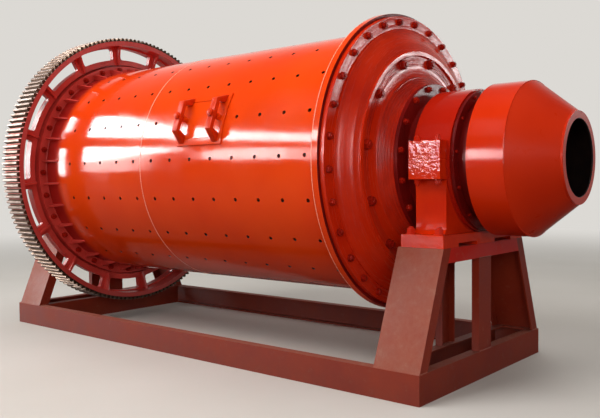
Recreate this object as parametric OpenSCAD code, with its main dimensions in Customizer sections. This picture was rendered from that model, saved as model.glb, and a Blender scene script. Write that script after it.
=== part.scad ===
// Overflow ball mill: a bolted, liner-drilled drum on two hollow trunnions.
// Sizes are in millimetres. The mill axis runs along X, feed end towards +X, and Z = 0 is the floor.

/* [Drum shell] */
// Outside radius of the rolled shell
shell_radius = 940; // [930:1:950]
// Shell plate thickness
shell_plate = 25; // [20:1:30]
// Length between the two flange joint faces
shell_length = 3250; // [3240:5:3300]
// Distance of the circumferential weld from mid length, towards discharge
seam_offset = 220; // [200:5:240]
// Radius of a liner bolt hole
liner_hole_radius = 13.5; // [11:0.5:15]
// Spacing of liner bolt holes along the shell
liner_hole_pitch = 218; // [210:1:220]
// Holes in each full row
liner_holes_per_row = 13; // [13:1:13]
// Rows round the shell
liner_rows = 20; // [20:1:20]
// Angle of the first row above the horizontal, front side
liner_row_phase = 2.3; // [0:0.1:4]
// Distance of the first hole from the discharge joint face
first_hole = 448; // [430:1:460]

/* [Shell flanges] */
// Reach of the feed shell flange over the shell
feed_flange_reach = 106; // [96:1:116]
// Thickness of the feed shell flange
feed_flange_thickness = 47; // [40:1:54]
// Reach of the discharge shell flange over the shell
discharge_flange_reach = 73; // [65:1:78]
// Thickness of the discharge shell flange
shell_flange_thickness = 35; // [30:1:40]
// Gussets behind the discharge shell flange
gusset_count = 30; // [30:2:30]
// Gusset plate thickness
gusset_plate = 14; // [10:1:18]
// Gusset length along the shell
gusset_length = 85; // [70:1:100]
// Gusset height over the shell
gusset_height = 46; // [40:1:56]
// Angle of the first gusset
gusset_phase = 4.2; // [0:0.1:6]

/* [Heads] */
// Thickness of the head's bolting flange
head_flange = 35; // [30:1:40]
// Reach of the head's rim over the shell
head_flange_reach = 84; // [76:1:94]
// Bolting face from the head's rim to its raised centre
head_face_width = 88; // [80:1:94]
// Height of that first step
head_step = 12; // [8:1:16]
// Width of the dished zone between the step and the turned ring
head_dish_width = 164; // [156:1:172]
// Height of the turned ring over the bolting face, feed head
feed_ring_rise = 100; // [90:1:110]
// Height of the turned ring over the bolting face, discharge head
discharge_ring_rise = 62; // [50:1:66]
// Width of the turned ring round the trunnion flange
head_ring_width = 30; // [26:1:36]
// Radius of the opening through a head
head_eye_radius = 520; // [510:2:560]
// Wall of the cast head
head_wall = 48; // [40:1:55]

/* [Trunnions] */
// Trunnion flange thickness
trunnion_flange = 40; // [35:1:45]
// Depth of the trunnion flange face below the turned ring
seat_depth = 15; // [10:1:20]
// Width of the trunnion flange's flat, where its bolts stand
trunnion_flat_width = 70; // [62:1:78]
// Radius of the bolted neck collar
collar_radius = 535; // [525:1:545]
// Collar thickness
collar_thickness = 30; // [25:1:35]
// Journal radius
journal_radius = 400; // [395:1:405]
// Radius of the passage through a trunnion
passage_radius = 300; // [280:5:310]
// Running clearance of journal and bush, on the radius
journal_clearance = 0.1; // [0.08:0.01:0.1]
// Reach of the discharge trunnion past its bearing centre
discharge_reach = 222; // [216:1:228]

/* [Girth gear] */
// Number of teeth
gear_teeth = 164; // [164:2:164]
// Radius over the tooth tips
gear_tip_radius = 1275; // [1268:1:1282]
// Depth of a tooth
tooth_depth = 28; // [26:0.5:31]
// Face width of the gear
gear_face = 235; // [226:1:244]
// Depth of the toothed rim, from the tooth tips inward
rim_depth = 71; // [68:1:76]
// Reach of the toothed rim from the web's face, towards the feed end
rim_reach = 118; // [110:1:126]
// Thickness of the spoked web
gear_web = 44; // [40:1:50]
// Lightening windows in the web
window_count = 16; // [16:2:16]
// Share of the web's width that lies inside the windows
window_hub_share = 0.285; // [0.26:0.005:0.31]
// Width of a spoke between two windows
spoke_width = 90; // [80:2:110]
// Corner radius of a window, as a share of its depth
window_corner_share = 0.2; // [0.15:0.01:0.3]
// Rim left between a window and the toothed rim
window_margin = 15; // [12:1:20]
// Angle of the first window
window_phase = 4.4; // [0:0.1:8]
// Gap between the web's rebate and the rim of the shell flange
web_rebate_gap = 17; // [14:1:20]
// Thickness of a stiffening rib on a spoke
rib_plate = 20; // [16:1:24]
// Height of a rib over the web, at the rim
rib_height = 70; // [60:1:90]
// Inner flange of the gear, bolted between shell and head
gear_flange = 40; // [36:1:44]

/* [Manhole] */
// Angle of the manhole above the horizontal
manhole_angle = 20.3; // [20.3:0.1:20.3]
// Manhole centre from the discharge joint face
manhole_x = 2067; // [2060:1:2074]
// Curved pad along the shell
pad_length = 470; // [462:2:480]
// Curved pad round the shell, measured across
pad_width = 392; // [384:2:400]
// Pad plate thickness
pad_plate = 12; // [10:1:14]
// Opening along the shell
manhole_length = 404; // [400:2:410]
// Opening across
manhole_width = 296; // [290:2:300]
// Lap of the cover's inner flange under the shell
cover_lap = 24; // [20:1:30]
// Thickness of the cover's inner flange
cover_flange = 18; // [14:1:22]
// Gap round the manhole cover
cover_gap = 3; // [2:0.5:4]
// Spacing of the two clamp bows
bow_spacing = 350; // [344:1:352]
// Width of a clamp bow
bow_width = 52; // [46:1:58]
// Height of a bow over the shell
bow_height = 92; // [84:1:100]
// Thickness of a bow at its top
bow_plate = 30; // [24:1:34]
// Half length of the bow's flat top
bow_top_half = 117; // [110:1:124]
// Half span of the bow's feet
bow_foot_half = 193; // [188:1:195]
// Width of a bow's foot
bow_foot = 64; // [56:1:70]
// Paint gap between a bow's feet and the pad
bow_foot_gap = 0.3; // [0.2:0.1:0.6]
// Radius of the boss on the cover under each bow
boss_radius = 23; // [20:1:23]
// Height of a boss over the pad
boss_height = 34; // [28:1:38]
// Radius of the stud that draws the cover against its bow
stud_radius = 17; // [14:0.5:19]
// Gap round a stud in its bow
stud_gap = 1; // [0.5:0.5:2]
// Radius over the corners of a stud nut
stud_nut_radius = 28; // [25:1:32]
// Height of a stud nut
stud_nut = 20; // [16:1:24]
// Reach of a stud past its nut
stud_end = 6; // [3:1:10]

/* [Bearings] */
// Bearing centre line from the feed head's bolting face
feed_bearing_offset = 425; // [420:1:430]
// Bearing centre line from the discharge head's bolting face
discharge_bearing_offset = 294; // [290:1:300]
// Length of the bearing housing along the axis
housing_length = 262; // [256:2:268]
// Outside radius of the cap
cap_radius = 475; // [472:1:482]
// Wall of the bearing bush
bush_wall = 30; // [26:1:34]
// Half width over the ears
ear_reach = 556; // [550:1:562]
// Top of the ear over the axis
ear_top = 118; // [112:1:124]
// Underside of the pedestal's ear below the axis
ear_drop = 124; // [118:1:130]
// Length of an ear along the axis
ear_length = 224; // [218:2:230]
// Half width over the pedestal's columns
pedestal_half = 470; // [464:1:476]
// Length of a column along the axis
column_length = 217; // [210:1:222]
// Fillet where a column meets the sole plate
column_foot = 26; // [20:1:32]
// Base plate along the axis
sole_length = 302; // [296:2:308]
// Base plate half width
sole_half = 585; // [580:1:590]
// Base plate thickness
sole_plate = 82; // [76:1:88]
// Height of the relief cast between the sole plate's feet
sole_relief = 24; // [18:1:30]
// Nearer side of a relief from the middle
relief_from = 133; // [125:1:140]
// Width of a relief
relief_width = 254; // [246:1:262]
// Top of the sole plate below the axis
sole_drop = 469; // [465:1:475]
// Outside radius of a seal ring
seal_radius = 464; // [458:1:470]
// Gap between a seal ring and the turning journal
seal_gap = 5; // [5:0.5:8]
// Seal ring thickness
seal_plate = 24; // [20:1:30]

/* [Drum feeder] */
// Outside radius of the barrel
barrel_radius = 497; // [490:1:504]
// Barrel length
barrel_length = 239; // [230:1:250]
// Cone length
cone_length = 277; // [270:1:285]
// Radius of the open mouth
mouth_radius = 242; // [236:1:248]
// Outside radius of the mouth ring
mouth_ring_radius = 290; // [284:1:296]
// Mouth ring thickness
mouth_ring_plate = 12; // [10:1:14]
// Feeder plate thickness
feeder_plate = 12; // [10:1:14]
// Barrel's back plate from the feed bearing centre line
feeder_offset = 252; // [248:1:256]

/* [Base and stands] */
// Height of the mill axis over the floor
axis_height = 1449; // [1445:1:1460]
// Height of a base beam
beam_height = 184; // [180:1:186]
// Flange width of a base beam
beam_flange = 75; // [70:1:80]
// Web and flange thickness of a base beam
beam_web = 12; // [10:1:14]
// Half width over the base
base_half_width = 886; // [880:1:892]
// Base reach past the feed bearing centre line
feed_base_reach = 158; // [156:1:164]
// Base reach past the discharge bearing centre line
discharge_base_reach = 158; // [156:1:170]
// Stand centre from its bearing centre, towards the drum
stand_shift = 10; // [6:1:14]
// Width of a stand leg along the axis
leg_width = 324; // [320:1:324]
// Depth of a leg's flanges
leg_flange = 88; // [84:1:92]
// Plate thickness of legs, posts and rails
stand_plate = 12; // [10:1:14]
// Leg face set in from the base's side
leg_foot_inset = 14; // [10:1:20]
// Half span of a leg pair at the top
leg_top_half = 585; // [581:1:590]
// Width of a post
post_width = 180; // [170:2:190]
// Depth of a post
post_depth = 52; // [48:1:56]
// Centre of the posts across the mill, front is negative
post_centre = -18; // [-24:1:-12]
// Height of the top rails
rail_height = 92; // [86:1:98]
// Top plate of a stand
top_plate = 16; // [12:1:20]

/* [View] */
// Piece shown alone, or all

/* [Hidden] */
$fn = 96;
// smallest overlap for clean cuts
e = 1;
joint_x = shell_length / 2;
feed_flange_radius = shell_radius + feed_flange_reach;
discharge_flange_radius = shell_radius + discharge_flange_reach;
head_rim_radius = shell_radius + head_flange_reach;
head_step_radius = head_rim_radius - head_face_width;
head_ring_radius = head_step_radius - head_dish_width;
trunnion_seat_radius = head_ring_radius - head_ring_width;
neck_root_radius = trunnion_seat_radius - trunnion_flat_width;
leg_foot_half = base_half_width - leg_foot_inset;
seam_x = -seam_offset;
feed_face = joint_x + head_flange;
gear_flange_out = -joint_x - gear_flange;
discharge_face = gear_flange_out - head_flange;
feed_bearing_x = feed_face + feed_bearing_offset;
discharge_bearing_x = discharge_face - discharge_bearing_offset;
feeder_back = feed_bearing_x + feeder_offset;
feeder_seam = feeder_back + barrel_length;
mouth_x = feeder_seam + cone_length;
discharge_end = discharge_bearing_x - discharge_reach;
x_mid = (mouth_x + discharge_end) / 2;
bush_radius = journal_radius + journal_clearance;
housing_bore = journal_radius + bush_wall;
base_feed_x = feed_bearing_x + feed_base_reach;
base_discharge_x = discharge_bearing_x - discharge_base_reach;
gear_root_radius = gear_tip_radius - tooth_depth;
web_face = -joint_x + 45;
gear_near = web_face + rim_reach;
gear_far = gear_near - gear_face;
rim_inner_radius = gear_tip_radius - rim_depth;
web_rebate_radius = discharge_flange_radius + web_rebate_gap;
window_inner_radius = web_rebate_radius + window_hub_share * (rim_inner_radius - web_rebate_radius);
window_outer_radius = rim_inner_radius - window_margin;
window_corner = window_corner_share * (window_outer_radius - window_inner_radius);
gear_hub_radius = web_rebate_radius + 0.9 * (window_inner_radius - web_rebate_radius);
pad_radius = shell_radius + pad_plate;
stand_base_z = beam_height;
stand_top_z = axis_height - sole_drop - sole_plate;
feed_stand_x = feed_bearing_x - stand_shift;
discharge_stand_x = discharge_bearing_x + stand_shift;
paint = [0.82, 0.17, 0.07];
dark_paint = [0.62, 0.10, 0.06];
primer = [0.48, 0.20, 0.14];
steel = [0.72, 0.69, 0.64];

// Places children with their local Z along the mill axis and the drum's mid length at zero.
module on_axis() {
  translate([-x_mid, 0, axis_height]) rotate([0, 90, 0]) children();
}

// Turns children about the axis so that local +X points at an angle above the front horizontal.
module at_angle(a) {
  rotate([0, 0, -90 - a]) children();
}

module ring(r_out, r_in, x_from, x_to) {
  translate([0, 0, x_from]) difference() {
    cylinder(r = r_out, h = x_to - x_from);
    translate([0, 0, -e]) cylinder(r = r_in, h = x_to - x_from + 2 * e);
  }
}

// A box given by its low and high corners in the mill's frame.
module block(low, high) {
  translate([low[0] - x_mid, low[1], low[2]])
    cube([high[0] - low[0], high[1] - low[1], high[2] - low[2]]);
}

// Box tangent to the shell at the manhole: x is along the mill, y across, z outward.
module manhole_box(lx, ly, z_from, z_to, cx = 0) {
  at_angle(manhole_angle)
    translate([z_from, -ly / 2, manhole_x - joint_x + cx - lx / 2])
      cube([z_to - z_from, ly, lx]);
}

function near_manhole(i, row) = row == 1 && i >= 7 && i <= 8;

module liner_holes(i_from, i_to) {
  for (row = [0 : liner_rows - 1], i = [i_from : i_to])
    if (!near_manhole(i, row))
      at_angle(liner_row_phase + row * 360 / liner_rows)
        translate([shell_radius - shell_plate - 20, 0,
          -joint_x + first_hole + i * liner_hole_pitch])
          rotate([0, 90, 0]) cylinder(r = liner_hole_radius, h = shell_plate + 40, $fn = 16);
}

module shell_feed_course() {
  color(paint) on_axis() difference() {
    ring(shell_radius, shell_radius - shell_plate, seam_x, joint_x);
    liner_holes(5, liner_holes_per_row - 1);
    manhole_box(manhole_length, manhole_width, shell_radius - 120, pad_radius + 20);
  }
}

module shell_discharge_course() {
  color(paint) on_axis() difference() {
    ring(shell_radius, shell_radius - shell_plate, -joint_x, seam_x);
    liner_holes(0, 4);
  }
}

module feed_shell_flange() {
  color(paint) on_axis()
    ring(feed_flange_radius, shell_radius, joint_x - feed_flange_thickness, joint_x);
}

module gusset() {
  x0 = -joint_x + shell_flange_thickness;
  rotate([90, 0, 0]) translate([0, 0, -gusset_plate / 2]) linear_extrude(gusset_plate)
    polygon([[shell_radius - 3, x0 - 2], [shell_radius + gusset_height, x0 - 2],
      [shell_radius + gusset_height, x0 + 18], [shell_radius + 8, x0 + gusset_length],
      [shell_radius - 3, x0 + gusset_length]]);
}

module discharge_shell_flange() {
  color(paint) on_axis() difference() {
    union() {
      ring(discharge_flange_radius, shell_radius, -joint_x, -joint_x + shell_flange_thickness);
      for (k = [0 : gusset_count - 1]) at_angle(gusset_phase + k * 360 / gusset_count) gusset();
    }
    translate([0, 0, -joint_x - e])
      cylinder(r = shell_radius, h = shell_flange_thickness + gusset_length + 2 * e);
  }
}

// Half section of a cast head, from the joint face outward; rise is the turned ring's height.
module head_section(rise) {
  f = head_flange;
  seat = rise - seat_depth - trunnion_flange;
  dish = head_dish_width * 0.84;
  dish_rise = rise * 0.78 - head_step;
  polygon(concat(
    [[head_rim_radius, 0], [head_rim_radius, f], [head_step_radius, f]],
    [for (k = [0 : 8]) [head_step_radius - dish * k / 8,
      f + head_step + dish_rise * (1 - cos(k * 22.5)) / 2]],
    [[head_ring_radius, f + rise * 0.88], [head_ring_radius, f + rise],
      [trunnion_seat_radius, f + rise], [trunnion_seat_radius, f + seat],
      [head_eye_radius, f + seat], [head_eye_radius, f + seat - head_wall],
      [head_ring_radius, f + seat - head_wall], [head_step_radius - 60, 0]]));
}

module feed_head() {
  color(paint) on_axis() translate([0, 0, joint_x])
    rotate_extrude() head_section(feed_ring_rise);
}

module discharge_head() {
  color(paint) on_axis() translate([0, 0, gear_flange_out]) mirror([0, 0, 1])
    rotate_extrude() head_section(discharge_ring_rise);
}

// Half section of a trunnion; zero is its flange's inner face, stop the journal's end.
module trunnion_section(neck, stop) {
  t = trunnion_flange;
  waist = collar_radius - 12;
  polygon(concat(
    [[trunnion_seat_radius, 0], [trunnion_seat_radius, t]],
    [for (k = [0 : 6]) [waist + (neck_root_radius - waist) * (1 - sin(k * 15)),
      t + neck * (1 - cos(k * 15))]],
    [[collar_radius, t + neck], [collar_radius, t + neck + collar_thickness],
      [journal_radius + 22, t + neck + collar_thickness],
      [journal_radius, t + neck + collar_thickness + 22], [journal_radius, stop],
      [passage_radius, stop], [passage_radius, t + 60], [passage_radius + 90, 0]]));
}

module feed_trunnion() {
  seat_x = feed_face + feed_ring_rise - seat_depth - trunnion_flange;
  color(paint) on_axis() translate([0, 0, seat_x]) rotate_extrude()
    trunnion_section(100, feeder_back - seat_x);
}

module discharge_trunnion() {
  seat_x = discharge_face - discharge_ring_rise + seat_depth + trunnion_flange;
  color(paint) on_axis() translate([0, 0, seat_x]) mirror([0, 0, 1]) rotate_extrude()
    trunnion_section(46, seat_x - discharge_end - 24);
}

// Half of one tooth: share of the pitch angle, then share of the tooth height.
tooth_points = [[-0.40, 0], [-0.30, 0.45], [-0.17, 1], [0.17, 1], [0.30, 0.45], [0.40, 0]];

// Outline of the spur teeth: tip land, flank and root land of each tooth.
function tooth_ring() = [
  for (k = [0 : gear_teeth - 1], p = tooth_points)
    let (a = (k + p[0]) * 360 / gear_teeth,
      r = gear_root_radius + p[1] * (gear_tip_radius - gear_root_radius))
    [r * cos(a), r * sin(a)]
];

module girth_gear_rim() {
  color(steel) on_axis() translate([0, 0, gear_far]) difference() {
    linear_extrude(gear_face) polygon(tooth_ring());
    translate([0, 0, -e]) cylinder(r = rim_inner_radius, h = gear_face + 2 * e);
  }
}

// Points of a rounded corner centred at radius r and angle a, turning a quarter from direction d.
function corner_points(r, a, d) = [for (k = [0 : 4])
  [r * cos(a) + window_corner * cos(d + k * 22.5),
    r * sin(a) + window_corner * sin(d + k * 22.5)]];

// One window: an arc-shaped slot with rounded corners, centred on local +X.
function window_outline() = let (
    ri = window_inner_radius,
    ro = window_outer_radius,
    half = 180 / window_count - asin(spoke_width / (ri + ro)),
    ai = half - asin(window_corner / (ri + window_corner)),
    ao = half - asin(window_corner / (ro - window_corner)))
  concat(
    [for (k = [-3 : 3]) [ro * cos(k * ao / 4), ro * sin(k * ao / 4)]],
    corner_points(ro - window_corner, ao, ao),
    corner_points(ri + window_corner, ai, ai + 90),
    [for (k = [3 : -1 : -3]) [ri * cos(k * ai / 4), ri * sin(k * ai / 4)]],
    corner_points(ri + window_corner, -ai, 180 - ai),
    corner_points(ro - window_corner, -ao, 270 - ao));

// Radial rib on the web's drum side, deepest at the rim.
module gear_rib() {
  rotate([90, 0, 0]) translate([0, 0, -rib_plate / 2]) linear_extrude(rib_plate)
    polygon([[web_rebate_radius + 2, web_face - e], [rim_inner_radius - e, web_face - e],
      [rim_inner_radius - e, web_face + rib_height],
      [window_inner_radius, web_face + rib_height * 0.5],
      [web_rebate_radius + 2, web_face + rib_height * 0.3]]);
}

module girth_gear_web() {
  color(dark_paint) on_axis() difference() {
    union() {
      ring(rim_inner_radius, web_rebate_radius, web_face - gear_web, web_face);
      ring(gear_hub_radius, shell_radius - shell_plate, gear_flange_out, -joint_x);
      ring(gear_hub_radius, web_rebate_radius, -joint_x - e, web_face);
      for (k = [0 : window_count - 1]) at_angle(window_phase + (k + 0.5) * 360 / window_count)
        gear_rib();
    }
    for (k = [0 : window_count - 1])
      at_angle(window_phase + k * 360 / window_count)
        translate([0, 0, web_face - gear_web - e]) linear_extrude(gear_web + 2 * e)
          polygon(window_outline());
  }
}

module manhole_pad() {
  color(paint) on_axis() difference() {
    intersection() {
      ring(pad_radius, shell_radius, manhole_x - joint_x - pad_length / 2,
        manhole_x - joint_x + pad_length / 2);
      manhole_box(pad_length, pad_width, shell_radius - 120, pad_radius + 20);
    }
    manhole_box(manhole_length, manhole_width, shell_radius - 120, pad_radius + 20);
  }
}

// Cover: a plug in the opening with a flange that bears on the inside of the shell, and two bosses.
module manhole_cover() {
  mid = manhole_x - joint_x;
  half = manhole_length / 2 + cover_lap;
  r_in = shell_radius - shell_plate;
  color(paint) on_axis() union() {
    intersection() {
      ring(pad_radius - 2, r_in - e, mid - half, mid + half);
      manhole_box(manhole_length - 2 * cover_gap, manhole_width - 2 * cover_gap,
        shell_radius - 120, pad_radius + 20);
    }
    intersection() {
      ring(r_in, r_in - cover_flange, mid - half, mid + half);
      manhole_box(2 * half, manhole_width + 2 * cover_lap, shell_radius - 120, pad_radius + 20);
    }
    for (s = [-1, 1])
      stud_axis(s * bow_spacing / 2, shell_radius) cylinder(r = boss_radius, h = pad_plate + boss_height);
  }
}

// Clamp bow: flat on top, with two sloping legs that widen down to the pad.
module manhole_bow(cx) {
  top = shell_radius + bow_height;
  foot = pad_radius - 34;
  t = bow_plate;
  color(dark_paint) on_axis() difference() {
    at_angle(manhole_angle) translate([0, 0, manhole_x - joint_x + cx - bow_width / 2])
      linear_extrude(bow_width) polygon([
        [top, -bow_top_half], [top, bow_top_half], [foot, bow_foot_half],
        [foot, bow_foot_half - bow_foot], [top - t, bow_top_half - t * 0.6],
        [top - t, -bow_top_half + t * 0.6], [foot, -bow_foot_half + bow_foot],
        [foot, -bow_foot_half]]);
    translate([0, 0, manhole_x - joint_x + cx - bow_width])
      cylinder(r = pad_radius + bow_foot_gap, h = 2 * bow_width, $fn = 360);
    stud_axis(cx, shell_radius) cylinder(r = stud_radius + stud_gap, h = 2 * bow_height);
  }
}

// Places children on a bow's stud line, local Z outward from radius r.
module stud_axis(cx, r) {
  at_angle(manhole_angle) translate([r, 0, manhole_x - joint_x + cx]) rotate([0, 90, 0]) children();
}

module manhole_studs() {
  foot = pad_plate + boss_height;
  color(dark_paint) on_axis() for (s = [-1, 1]) {
    stud_axis(s * bow_spacing / 2, shell_radius + foot)
      cylinder(r = stud_radius, h = bow_height - foot + stud_nut + stud_end);
    stud_axis(s * bow_spacing / 2, shell_radius + bow_height)
      cylinder(r = stud_nut_radius, h = stud_nut, $fn = 6);
  }
}

module manhole_bow_left() {
  manhole_bow(-bow_spacing / 2);
}

module manhole_bow_right() {
  manhole_bow(bow_spacing / 2);
}

// Pedestal's columns, seen along the axis (y across, z up).
module column_outline() {
  h = pedestal_half;
  difference() {
    polygon([[-h, 0], [h, 0], [h, column_foot - sole_drop], [h + column_foot, -sole_drop],
      [-h - column_foot, -sole_drop], [-h, column_foot - sole_drop]]);
    circle(r = housing_bore);
  }
}

// Half of the round housing: above the axis for side 1, below it for side -1.
module half_housing(side) {
  difference() {
    circle(r = cap_radius);
    circle(r = housing_bore);
    translate([-cap_radius - e, side > 0 ? -cap_radius - e : 0])
      square([2 * cap_radius + 2 * e, cap_radius + e]);
  }
}

// Lugs at both sides of the split, where the cap is bolted down.
module ears(bx, z_from, z_to) {
  root = cap_radius - 30;
  for (s = [-1, 1])
    block([bx - ear_length / 2, s > 0 ? root : -ear_reach, axis_height + z_from],
      [bx + ear_length / 2, s > 0 ? ear_reach : -root, axis_height + z_to]);
}

module across(bx, length) {
  translate([bx - x_mid - length / 2, 0, axis_height]) rotate([90, 0, 90])
    linear_extrude(length) children();
}

// Sole plate with a relief cast between its feet on each side.
module sole(bx) {
  half = sole_length / 2;
  difference() {
    block([bx - half, -sole_half, stand_top_z], [bx + half, sole_half, stand_top_z + sole_plate]);
    for (y0 = [-relief_from - relief_width, relief_from])
      block([bx - half - e, y0, stand_top_z - e],
        [bx + half + e, y0 + relief_width, stand_top_z + sole_relief]);
  }
}

module bearing_pedestal(bx) {
  color(paint) union() {
    across(bx, housing_length) intersection() {
      half_housing(-1);
      translate([-cap_radius, -sole_drop - e]) square([2 * cap_radius, sole_drop + e]);
    }
    across(bx, column_length) column_outline();
    ears(bx, -ear_drop, 0);
    sole(bx);
  }
}

module bearing_cap(bx) {
  color(paint) union() {
    across(bx, housing_length) half_housing(1);
    ears(bx, 0, ear_top);
  }
}

module bearing_bush(bx) {
  half = housing_length / 2;
  color(steel) on_axis() ring(housing_bore, bush_radius, bx - half, bx + half);
}

module seal_ring(x_from) {
  color(dark_paint) on_axis() ring(seal_radius, journal_radius + seal_gap, x_from, x_from + seal_plate);
}

module feed_bearing_pedestal() {
  bearing_pedestal(feed_bearing_x);
}

module feed_bearing_cap() {
  bearing_cap(feed_bearing_x);
}

module feed_bearing_bush() {
  bearing_bush(feed_bearing_x);
}

module feed_seal_ring() {
  seal_ring(feed_bearing_x + housing_length / 2);
}

module discharge_bearing_pedestal() {
  bearing_pedestal(discharge_bearing_x);
}

module discharge_bearing_cap() {
  bearing_cap(discharge_bearing_x);
}

module discharge_bearing_bush() {
  bearing_bush(discharge_bearing_x);
}

module discharge_seal_ring() {
  seal_ring(discharge_bearing_x - housing_length / 2 - seal_plate);
}

module feeder_back_plate() {
  color(paint) on_axis() ring(barrel_radius, passage_radius, feeder_back, feeder_back + feeder_plate);
}

module feeder_barrel() {
  color(paint) on_axis()
    ring(barrel_radius, barrel_radius - feeder_plate, feeder_back + feeder_plate, feeder_seam);
}

module feeder_cone() {
  color(paint) on_axis() translate([0, 0, feeder_seam]) rotate_extrude() polygon([
    [barrel_radius - feeder_plate, 0], [barrel_radius, 0],
    [mouth_ring_radius, cone_length - mouth_ring_plate],
    [mouth_ring_radius - feeder_plate, cone_length - mouth_ring_plate]]);
}

module feeder_mouth_ring() {
  color(paint) on_axis() ring(mouth_ring_radius, mouth_radius, mouth_x - mouth_ring_plate, mouth_x);
}

module discharge_lip() {
  color(paint) on_axis() ring(journal_radius + 70, passage_radius, discharge_end, discharge_end + 24);
}

// Channel lying along X with its web on the outer face, between the end beams' webs.
module long_beam(side) {
  x0 = base_discharge_x + beam_web;
  x1 = base_feed_x - beam_web;
  y_out = side * base_half_width;
  y_web = side * (base_half_width - beam_web);
  y_in = side * (base_half_width - beam_flange);
  color(primer) {
    block([x0, min(y_out, y_web), 0], [x1, max(y_out, y_web), beam_height]);
    block([x0, min(y_out, y_in), 0], [x1, max(y_out, y_in), beam_web]);
    block([x0, min(y_out, y_in), beam_height - beam_web], [x1, max(y_out, y_in), beam_height]);
  }
}

module base_front_beam() {
  long_beam(-1);
}

module base_rear_beam() {
  long_beam(1);
}

// Channel across the mill: face is the web's outer plane, dir the way it faces.
module cross_beam(face, dir, web_half) {
  half = base_half_width - beam_flange;
  web_in = face - dir * beam_web;
  toe = face - dir * beam_flange;
  color(primer) {
    block([min(face, web_in), -web_half, 0], [max(face, web_in), web_half, beam_height]);
    block([min(face, toe), -half, 0], [max(face, toe), half, beam_web]);
    block([min(face, toe), -half, beam_height - beam_web], [max(face, toe), half, beam_height]);
  }
}

module base_feed_end_beam() {
  cross_beam(base_feed_x, 1, base_half_width);
}

module base_feed_cross_beam() {
  cross_beam(feed_stand_x - leg_width / 2, -1, base_half_width - beam_flange);
}

module base_discharge_cross_beam() {
  cross_beam(discharge_stand_x + leg_width / 2, 1, base_half_width - beam_flange);
}

module base_discharge_end_beam() {
  cross_beam(base_discharge_x, -1, base_half_width);
}

// Side view of a sloping leg, y across and z up, between the base beams and the stand's top.
function leg_line(inset) = let (run = leg_foot_half - leg_top_half, rise = stand_top_z - stand_base_z,
  slant = sqrt(run * run + rise * rise)) inset * slant / rise;

module leg_profile(inset_from, inset_to) {
  a = leg_line(inset_from);
  b = leg_line(inset_to);
  polygon([[leg_foot_half - a, stand_base_z], [leg_top_half - a, stand_top_z],
    [leg_top_half - b, stand_top_z], [leg_foot_half - b, stand_base_z]]);
}

module leg(bx, side) {
  color(primer) translate([bx - x_mid - leg_width / 2, 0, 0]) mirror([0, side < 0 ? 1 : 0, 0])
    rotate([90, 0, 90]) {
      linear_extrude(leg_width) leg_profile(0, stand_plate);
      linear_extrude(stand_plate) leg_profile(0, leg_flange);
      translate([0, 0, leg_width - stand_plate]) linear_extrude(stand_plate) leg_profile(0, leg_flange);
    }
}

module feed_front_leg() {
  leg(feed_stand_x, -1);
}

module feed_rear_leg() {
  leg(feed_stand_x, 1);
}

module discharge_front_leg() {
  leg(discharge_stand_x, -1);
}

module discharge_rear_leg() {
  leg(discharge_stand_x, 1);
}

// Upright channel with its web on the stand's end face.
module post(bx, dir) {
  face = bx + dir * leg_width / 2;
  web_in = face - dir * stand_plate;
  toe = face - dir * post_depth;
  y0 = post_centre - post_width / 2;
  y1 = post_centre + post_width / 2;
  z1 = stand_top_z - rail_height;
  color(primer) {
    block([min(face, web_in), y0, beam_height], [max(face, web_in), y1, z1]);
    block([min(face, toe), y0, beam_height], [max(face, toe), y0 + stand_plate, z1]);
    block([min(face, toe), y1 - stand_plate, beam_height], [max(face, toe), y1, z1]);
  }
}

module feed_outer_post() {
  post(feed_stand_x, 1);
}

module feed_inner_post() {
  post(feed_stand_x, -1);
}

module discharge_outer_post() {
  post(discharge_stand_x, -1);
}

module discharge_inner_post() {
  post(discharge_stand_x, 1);
}

// Two rails across the stand under one top plate, fitted between the legs' flanges.
module top_frame(bx) {
  z0 = stand_top_z - rail_height;
  half_top = leg_top_half - leg_line(leg_flange);
  half_low = half_top + (leg_foot_half - leg_top_half) * rail_height / (stand_top_z - stand_base_z);
  inner_top = leg_top_half - leg_line(stand_plate);
  color(primer) {
    for (d = [0, 1])
      translate([bx - x_mid - leg_width / 2 + d * (leg_width - stand_plate), 0, 0]) rotate([90, 0, 90])
        linear_extrude(stand_plate)
          polygon([[-half_low, z0], [half_low, z0], [half_top, stand_top_z], [-half_top, stand_top_z]]);
    block([bx - leg_width / 2 + stand_plate, -inner_top, stand_top_z - top_plate],
      [bx + leg_width / 2 - stand_plate, inner_top, stand_top_z]);
  }
}

module feed_top_frame() {
  top_frame(feed_stand_x);
}

module discharge_top_frame() {
  top_frame(discharge_stand_x);
}

base_front_beam();
base_rear_beam();
base_feed_end_beam();
base_feed_cross_beam();
base_discharge_cross_beam();
base_discharge_end_beam();
feed_front_leg();
feed_rear_leg();
feed_outer_post();
feed_inner_post();
feed_top_frame();
discharge_front_leg();
discharge_rear_leg();
discharge_outer_post();
discharge_inner_post();
discharge_top_frame();
feed_bearing_pedestal();
feed_bearing_cap();
feed_bearing_bush();
feed_seal_ring();
discharge_bearing_pedestal();
discharge_bearing_cap();
discharge_bearing_bush();
discharge_seal_ring();
shell_feed_course();
shell_discharge_course();
feed_shell_flange();
discharge_shell_flange();
feed_head();
discharge_head();
feed_trunnion();
discharge_trunnion();
girth_gear_rim();
girth_gear_web();
manhole_pad();
manhole_cover();
manhole_bow_left();
manhole_bow_right();
manhole_studs();
feeder_back_plate();
feeder_barrel();
feeder_cone();
feeder_mouth_ring();
discharge_lip();
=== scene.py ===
# %% [markdown]
# # Dressing a ball mill
# A ball mill is a turning drum of rolled plate that grinds ore with loose steel balls. This one
# has cast heads, hollow trunnions in two plain bearings, a girth gear, a conical feeder and a
# welded base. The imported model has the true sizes, so every piece made here is set on it.

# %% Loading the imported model
import math
import random

import bpy
import numpy as np
from mathutils import Matrix, Vector


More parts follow.
